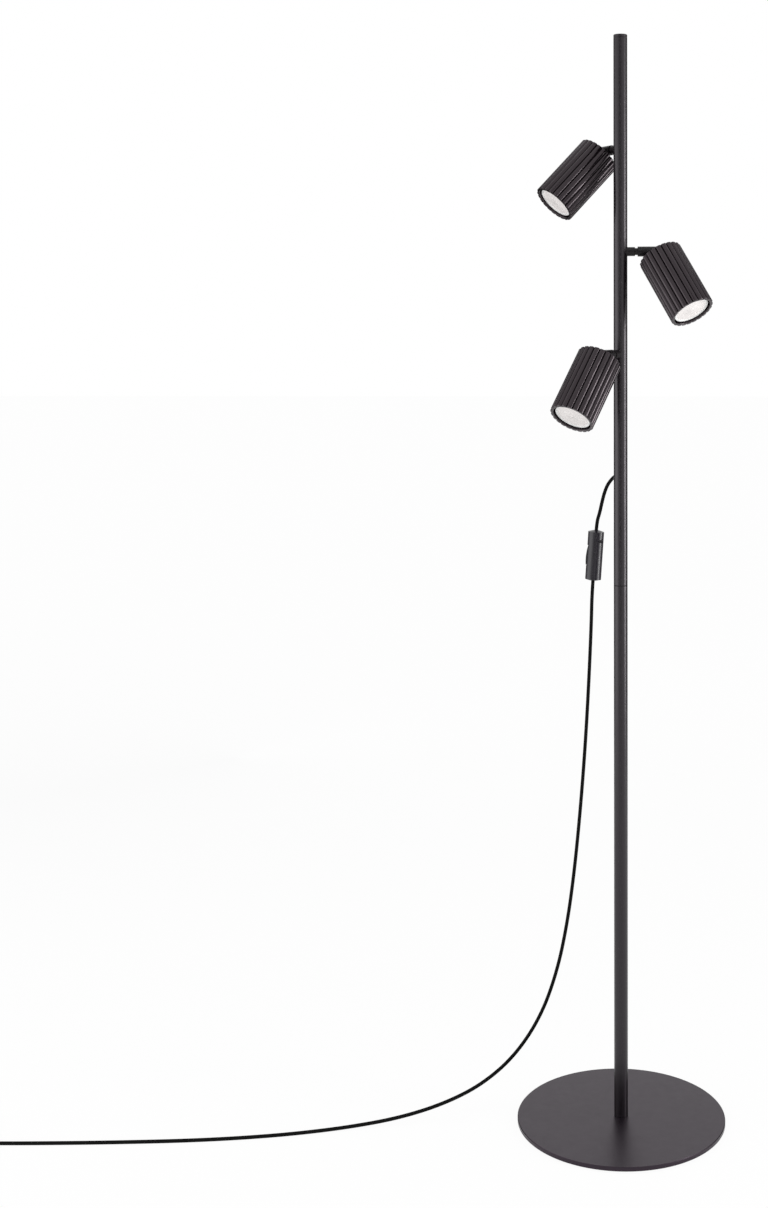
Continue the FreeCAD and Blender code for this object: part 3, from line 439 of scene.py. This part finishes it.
def add_sheet(name, reach, matrix, material):
    """A flat sheet of the stage; reach is from its middle to its sides, before the matrix."""
    bm = bmesh.new()
    bmesh.ops.create_grid(bm, x_segments=1, y_segments=1, size=reach, matrix=matrix)
    mesh = bpy.data.meshes.new(name)
    bm.to_mesh(mesh)
    bm.free()
    mesh.materials.append(material)
    return add_object(name, mesh)


def to_mesh(bm, name, *slots):
    """Turns a bmesh into a mesh with outward faces and smooth shading between sharp edges."""
    bmesh.ops.remove_doubles(bm, verts=bm.verts, dist=MERGE_DISTANCE)
    bmesh.ops.recalc_face_normals(bm, faces=bm.faces)
    mesh = bpy.data.meshes.new(name)
    bm.to_mesh(mesh)
    bm.free()
    for slot in slots:
        mesh.materials.append(material_of(slot))
    mesh.shade_smooth()
    mesh.set_sharp_from_angle(angle=SHARP_ANGLE)
    return mesh


def head_matrix(name):
    """Places a head: its own X axis runs out of the lamp's face and its origin is on the pivot.

    The tilt's range is even about a head in line with its arm, so its middle tells the tilt.
    """
    tilt = JOINTS["tilt_" + name]
    arm = Vector(JOINTS["swivel_" + name]["axis"])
    hinge = Vector(tilt["axis"])
    low, high = tilt["range_deg"]
    outward = Matrix.Rotation(math.radians(-(low + high) / 2), 3, hinge) @ arm
    turn = Matrix((outward, hinge, outward.cross(hinge))).transposed().to_4x4()
    return Matrix.Translation(Vector(tilt["pos_m"])) @ turn


def rib_radius(heads, turned):
    """The ribs' outline: each is one round arc, and the first starts from its groove at 0."""
    crest = heads.crest_diameter / 2
    groove = crest - heads.rib_depth
    half_step = math.pi / heads.rib_count
    centre = (crest ** 2 - groove ** 2) / (2 * (crest - groove * math.cos(half_step)))
    offset = turned % (2 * half_step) - half_step
    across = (crest - centre) ** 2 - (centre * math.sin(offset)) ** 2
    return centre * math.cos(offset) + math.sqrt(across)


def shape_ring(verts, heads, along, radius, limit):
    """Brings a ring of the shell to its place: round where it has a radius, else ribbed."""
    for vert in verts:
        turned = math.atan2(vert.co.z, vert.co.y)
        wide = radius or min(rib_radius(heads, turned), limit)
        vert.co = (along, wide * math.cos(turned), wide * math.sin(turned))


def ribbed_shell(heads):
    """The shell as a bmesh: ribs outside, a stepped bore inside, drawn-in rib ends."""
    crest = heads.crest_diameter / 2
    drawn_in = crest - heads.rib_end
    bore = heads.bore_diameter / 2
    rear = heads.setback
    front = heads.setback + heads.length
    shoulder = rear + heads.rear_bore_length
    shoulder_end = shoulder + heads.shoulder_thickness
    rings = [
        (rear, None, drawn_in),
        (rear + heads.rib_end, None, crest),
        (front - heads.rib_end, None, crest),
        (front, None, drawn_in),
        (front, bore + heads.rim_edge, None),
        (front - heads.rim_edge, bore, None),
        (shoulder_end, bore, None),
        (shoulder_end, heads.shoulder_bore / 2, None),
        (shoulder, heads.shoulder_bore / 2, None),
        (shoulder, bore, None),
        (rear + heads.rim_edge, bore, None),
        (rear, bore + heads.rim_edge, None),
    ]
    bm = bmesh.new()
    upright = Matrix.Rotation(math.pi / 2, 4, "Y")
    segments = heads.rib_count * RIB_STEPS
    made = bmesh.ops.create_circle(bm, segments=segments, radius=crest, matrix=upright)
    shape_ring(made["verts"], heads, *rings[0])
    edges = bm.edges[:]
    for ring in rings[1:] + rings[:1]:
        grown = bmesh.ops.extrude_edge_only(bm, edges=edges)["geom"]
        verts = {part for part in grown if isinstance(part, bmesh.types.BMVert)}
        lines = [part for part in grown if isinstance(part, bmesh.types.BMEdge)]
        edges = [line for line in lines if verts.issuperset(line.verts)]
        shape_ring(verts, heads, *ring)
    return bm


def lathe(outline):
    """A turned form about the local X axis; its points are (distance along it, radius)."""
    bm = bmesh.new()
    verts = [bm.verts.new((along, 0, radius)) for along, radius in outline]
    edges = [bm.edges.new(pair) for pair in zip(verts, verts[1:])]
    bmesh.ops.spin(
        bm, geom=verts + edges, cent=(0, 0, 0), axis=(1, 0, 0), angle=TURN, steps=LATHE_STEPS,
        use_merge=True,
    )
    bmesh.ops.remove_doubles(bm, verts=bm.verts, dist=MERGE_DISTANCE)
    return bm


def lens_form(heads):
    """The lens: a clear outer band, a shallow step down to the frosted middle, a gate mark."""
    band = heads.lens_radius - heads.lens_band
    front = heads.lens_front
    step = heads.lens_step
    lens = lathe([
        (heads.lens_back, 0),
        (heads.lens_back, heads.lens_radius),
        (front - step, heads.lens_radius),
        (front, heads.lens_radius - step),
        (front, band + step),
        (front - step, band),
        (front - step, GATE_FOOT_RADIUS),
        (front - step / 2, GATE_TOP_RADIUS),
        (front - step / 2, 0),
    ])
    # The first of the lens's two materials is the frosted middle's, the second the clear band's
    for face in lens.faces:
        middle = face.calc_center_median()
        face.material_index = int(math.hypot(middle.y, middle.z) > band)
    return lens


def add_head_piece(form, place, name, node, *slots):
    """Carries a form from a head's own axes to its place, and shows it for its CAD node."""
    bmesh.ops.transform(form, matrix=place, verts=form.verts)
    add_piece(name, to_mesh(form, name, *slots), node)


def cord_object(name, points, diameter):
    """A smooth round cord along its route's points."""
    curve = bpy.data.curves.new(name, "CURVE")
    curve.dimensions = "3D"
    curve.bevel_depth = diameter / 2
    curve.bevel_resolution = 4
    curve.resolution_u = 8
    curve.use_fill_caps = True
    curve.materials.append(material_of("cord_jacket"))
    spline = curve.splines.new("NURBS")
    spline.points.add(len(points) - 1)
    for point, place in zip(spline.points, points):
        point.co = (*place, 1)
    spline.order_u = 3
    spline.use_endpoint_u = True
    return add_object(name, curve)


def coil_points(cord):
    """The coil's turns: they spiral in, climb a layer at the reversal and spiral out again."""

    def wound(turn):
        """Radius and height at an angle from the reversal, which is rounded over half a turn."""
        grown = abs(turn) if abs(turn) > math.pi / 2 else turn ** 2 / math.pi + math.pi / 4
        radius = cord.coil_inner_radius + cord.coil_pitch * grown / TURN
        share = min(max(turn / math.pi + 0.5, 0), 1)
        return radius, cord.coil_pitch * share ** 2 * (3 - 2 * share)

    first = -TURN * cord.coil_turns_in
    last = TURN * cord.coil_turns_out
    start_radius = wound(first)[0]
    start_angle = math.atan(cord.coil_pitch / TURN / start_radius) - math.pi / 2
    start = Vector(LOWER_ROUTE[-1]) - Vector((cord.diameter, 0, 0))
    centre = start - Vector((math.cos(start_angle), math.sin(start_angle), 0)) * start_radius
    steps = round((cord.coil_turns_in + cord.coil_turns_out) * COIL_STEPS)
    points = []
    for step in range(steps + 1):
        turn = first + (last - first) * step / steps
        radius, height = wound(turn)
        facing = start_angle - (turn - first)
        points.append(
            centre + Vector((radius * math.cos(facing), radius * math.sin(facing), height))
        )
    return points


class LAMP_OT_finishes(bpy.types.Operator):
    """Make the materials and give every CAD node the finish of its slot"""

    bl_idname = "lamp.finishes"
    bl_label = "Finishes"

    def execute(self, context):
        make_materials(context.scene.lamp_colours)
        for name, node in frame["nodes"].items():
            node.data.materials.clear()
            node.data.materials.append(material_of(SLOT_OF[name]))
        return {"FINISHED"}


class LAMP_OT_cords(bpy.types.Operator):
    """Lay the cord from the pole to the switch, and on to the coil and the plug"""

    bl_idname = "lamp.cords"
    bl_label = "Cords"

    def execute(self, context):
        self.lay_upper(context.scene.lamp_cord)
        self.lay_lower(context.scene.lamp_cord)
        return {"FINISHED"}

    def lay_upper(self, cord):
        """From the strain relief down to the switch."""
        outward = Vector((math.cos(cord.exit_azimuth), math.sin(cord.exit_azimuth), 0))
        relief_end = outward * (cord.pole_radius + cord.relief_length)
        relief_end.z = cord.exit_height
        points = [relief_end, relief_end + outward * cord.exit_lead]
        points += UPPER_ROUTE
        points += [SWITCH_TOP - SWITCH_DOWN * cord.switch_lead, SWITCH_TOP]
        upper = cord_object("cord_to_switch", points, cord.diameter)
        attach(upper, "stand")
        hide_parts("cord_upper")

    def lay_lower(self, cord):
        """From the switch down to the floor, through the coil and on to the plug."""
        switch_bottom = SWITCH_TOP + SWITCH_DOWN * cord.switch_length
        wound = coil_points(cord)
        out = (wound[-1] - wound[-2]).normalized()
        coil_exit = wound[-1] + out * cord.diameter
        points = [switch_bottom, switch_bottom + SWITCH_DOWN * 2 * cord.switch_lead]
        points += LOWER_ROUTE
        points += wound
        points += [coil_exit, coil_exit + out * cord.coil_lead]
        points += TAIL_ROUTE
        lower = cord_object("cord_to_plug", points, cord.diameter)
        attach(lower, "stand")
        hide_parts("cord_lower", "cord_coil", "cord_tail")


class LAMP_OT_heads(bpy.types.Operator):
    """Make the three ribbed shells and the lenses of the lamps in them"""

    bl_idname = "lamp.heads"
    bl_label = "Heads"

    def execute(self, context):
        heads = context.scene.lamp_heads
        for name in ARM_NAMES:
            place = head_matrix(name)
            add_head_piece(
                ribbed_shell(heads), place, "ribbed_" + name, "head_shell_" + name, "head_coat"
            )
            add_head_piece(
                lens_form(heads), place, "opal_" + name, "lamp_lens_" + name,
                "lens_opal", "lens_band",
            )
        return {"FINISHED"}


def seen_by_eye(tree):
    """A socket that is 1 for rays from the camera, a reflection or through glass, and else 0."""
    path = tree.nodes.new("ShaderNodeLightPath")
    total = path.outputs["Is Camera Ray"]
    for kind in ("Is Glossy Ray", "Is Transmission Ray"):
        larger = tree.nodes.new("ShaderNodeMath")
        larger.operation = "MAXIMUM"
        tree.links.new(total, larger.inputs[0])
        tree.links.new(path.outputs[kind], larger.inputs[1])
        total = larger.outputs[0]
    return total


class LAMP_OT_stage(bpy.types.Operator):
    """Set the floor, the light, the cloths for the reflections and the camera"""

    bl_idname = "lamp.stage"
    bl_label = "Stage"

    def execute(self, context):
        self.add_floor(context)
        self.light_world(context)
        self.add_softboxes()
        self.add_flags()
        self.add_camera(context)
        context.scene.view_settings.view_transform = "Standard"
        return {"FINISHED"}

    def add_floor(self, context):
        """White paper that keeps the lamp's shadow and still looks white."""
        material = studio_cloth("floor_paper", context.scene.lamp_colours.floor)
        nodes = material.node_tree.nodes
        links = material.node_tree.links
        paper = nodes["Principled BSDF"]
        white = nodes.new("ShaderNodeEmission")
        share = nodes.new("ShaderNodeMath")
        share.operation = "MULTIPLY"
        share.inputs[1].default_value = WHITE_SHARE
        mix = nodes.new("ShaderNodeMixShader")
        links.new(seen_by_eye(material.node_tree), share.inputs[0])
        links.new(share.outputs[0], mix.inputs["Fac"])
        links.new(paper.outputs[0], mix.inputs[1])
        links.new(white.outputs[0], mix.inputs[2])
        links.new(mix.outputs[0], nodes["Material Output"].inputs["Surface"])
        floor = add_sheet("floor", FLOOR_REACH, Matrix.Identity(4), material)

    def light_world(self, context):
        """Light from all round, which looks white itself."""
        world = bpy.data.worlds.new("studio")
        context.scene.world = world
        world.use_nodes = True
        nodes = world.node_tree.nodes
        links = world.node_tree.links
        light = nodes["Background"]
        light.inputs["Color"].default_value = (1, 1, 1, 1)
        light.inputs["Strength"].default_value = WORLD_STRENGTH
        white = nodes.new("ShaderNodeBackground")
        white.inputs["Color"].default_value = (1, 1, 1, 1)
        white.inputs["Strength"].default_value = 1.0
        mix = nodes.new("ShaderNodeMixShader")
        links.new(seen_by_eye(world.node_tree), mix.inputs["Fac"])
        links.new(light.outputs[0], mix.inputs[1])
        links.new(white.outputs[0], mix.inputs[2])
        links.new(mix.outputs[0], nodes["World Output"].inputs["Surface"])

    def add_softboxes(self):
        """A wide and a narrow light beside the lamp, which face its pole."""
        for name, azimuth, distance, wide, tall, height, watts in (
            ("softbox_left", -72, 1.7, 1.6, 1.3, 0.85, 9),
            ("softbox_right", 80, 1.7, 0.4, 1.3, 0.9, 18),
        ):
            data = bpy.data.lights.new(name, "AREA")
            data.shape = "RECTANGLE"
            data.size = wide
            data.size_y = tall
            data.energy = watts
            softbox = add_object(name, data)
            turned = math.radians(azimuth)
            target = Vector((0, 0, height))
            place = Vector((math.sin(turned), -math.cos(turned), 0)) * distance + target
            softbox.location = place
            softbox.rotation_euler = (target - place).to_track_quat("-Z", "Y").to_euler()

    def add_flags(self):
        """Cloths that show in reflections but not to the camera.

        A grey one behind the camera gives the pole its core, and two black ones behind the lamp
        give it its dark edges.
        """
        for name, azimuth, distance, wide, tall, shade in (
            ("flag_camera", -5, 3.4, 2.6, 3.4, 0.7),
            ("flag_left", -136, 2.0, 1.2, 3.0, 0.01),
            ("flag_right", 132, 2.0, 1.4, 3.0, 0.01),
        ):
            facing = Matrix.Rotation(math.radians(azimuth), 4, "Z")
            upright = facing @ Matrix.Rotation(math.pi / 2, 4, "X")
            place = Matrix.Translation(upright @ Vector((0, tall / 2, distance))) @ upright
            extent = Matrix.Diagonal((wide / 2, tall / 2, 1, 1))
            cloth = studio_cloth(name + "_cloth", (shade, shade, shade))
            flag = add_sheet(name, 1, place @ extent, cloth)
            flag.visible_camera = False

    def add_camera(self, context):
        """The camera, turned by its yaw and its pitch and then rolled about its own axis."""
        level = Vector((math.sin(CAMERA_YAW), math.cos(CAMERA_YAW), 0))
        right = Vector((math.cos(CAMERA_YAW), -math.sin(CAMERA_YAW), 0))
        ahead = level * math.cos(CAMERA_PITCH) - Vector((0, 0, math.sin(CAMERA_PITCH)))
        up = right.cross(ahead)
        right, up = (
            right * math.cos(CAMERA_ROLL) + up * math.sin(CAMERA_ROLL),
            up * math.cos(CAMERA_ROLL) - right * math.sin(CAMERA_ROLL),
        )
        data = bpy.data.cameras.new("camera")
        data.sensor_width = SENSOR_WIDTH
        data.lens = FOCAL_LENGTH
        data.shift_x = SHIFT_X
        data.shift_y = SHIFT_Y
        data.dof.use_dof = False
        camera = add_object("camera", data)
        turn = Matrix((right, up, -ahead)).transposed().to_4x4()
        camera.matrix_world = Matrix.Translation(CAMERA_PLACE) @ turn
        context.scene.camera = camera


class LAMP_PT_panel(bpy.types.Panel):
    """Lists the lamp's operators, sizes and colours"""

    bl_label = "Tree lamp"
    bl_idname = "LAMP_PT_panel"
    bl_space_type = "VIEW_3D"
    bl_region_type = "UI"
    bl_category = "Tree lamp"

    def draw(self, context):
        for operator in OPERATORS:
            self.layout.operator(operator.bl_idname)
        for name, group in GROUPS.items():
            box = self.layout.box()
            for field in group.__annotations__:
                box.prop(getattr(context.scene, name), field)


GROUPS = {
    "lamp_heads": LAMP_PG_heads,
    "lamp_cord": LAMP_PG_cord,
    "lamp_colours": LAMP_PG_colours,
}
OPERATORS = [LAMP_OT_finishes, LAMP_OT_cords, LAMP_OT_heads, LAMP_OT_stage]
CLASSES = [*GROUPS.values(), *OPERATORS, LAMP_PT_panel]


def register():
    for kind in CLASSES:
        bpy.utils.register_class(kind)
    for name, group in GROUPS.items():
        setattr(bpy.types.Scene, name, PointerProperty(type=group))


def unregister():
    for name in GROUPS:
        delattr(bpy.types.Scene, name)
    for kind in reversed(CLASSES):
        bpy.utils.unregister_class(kind)


def main():
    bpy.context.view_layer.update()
    register()
    bpy.ops.lamp.finishes()
    bpy.ops.lamp.cords()
    bpy.ops.lamp.heads()
    bpy.ops.lamp.stage()


if __name__ == "__main__":
    main()
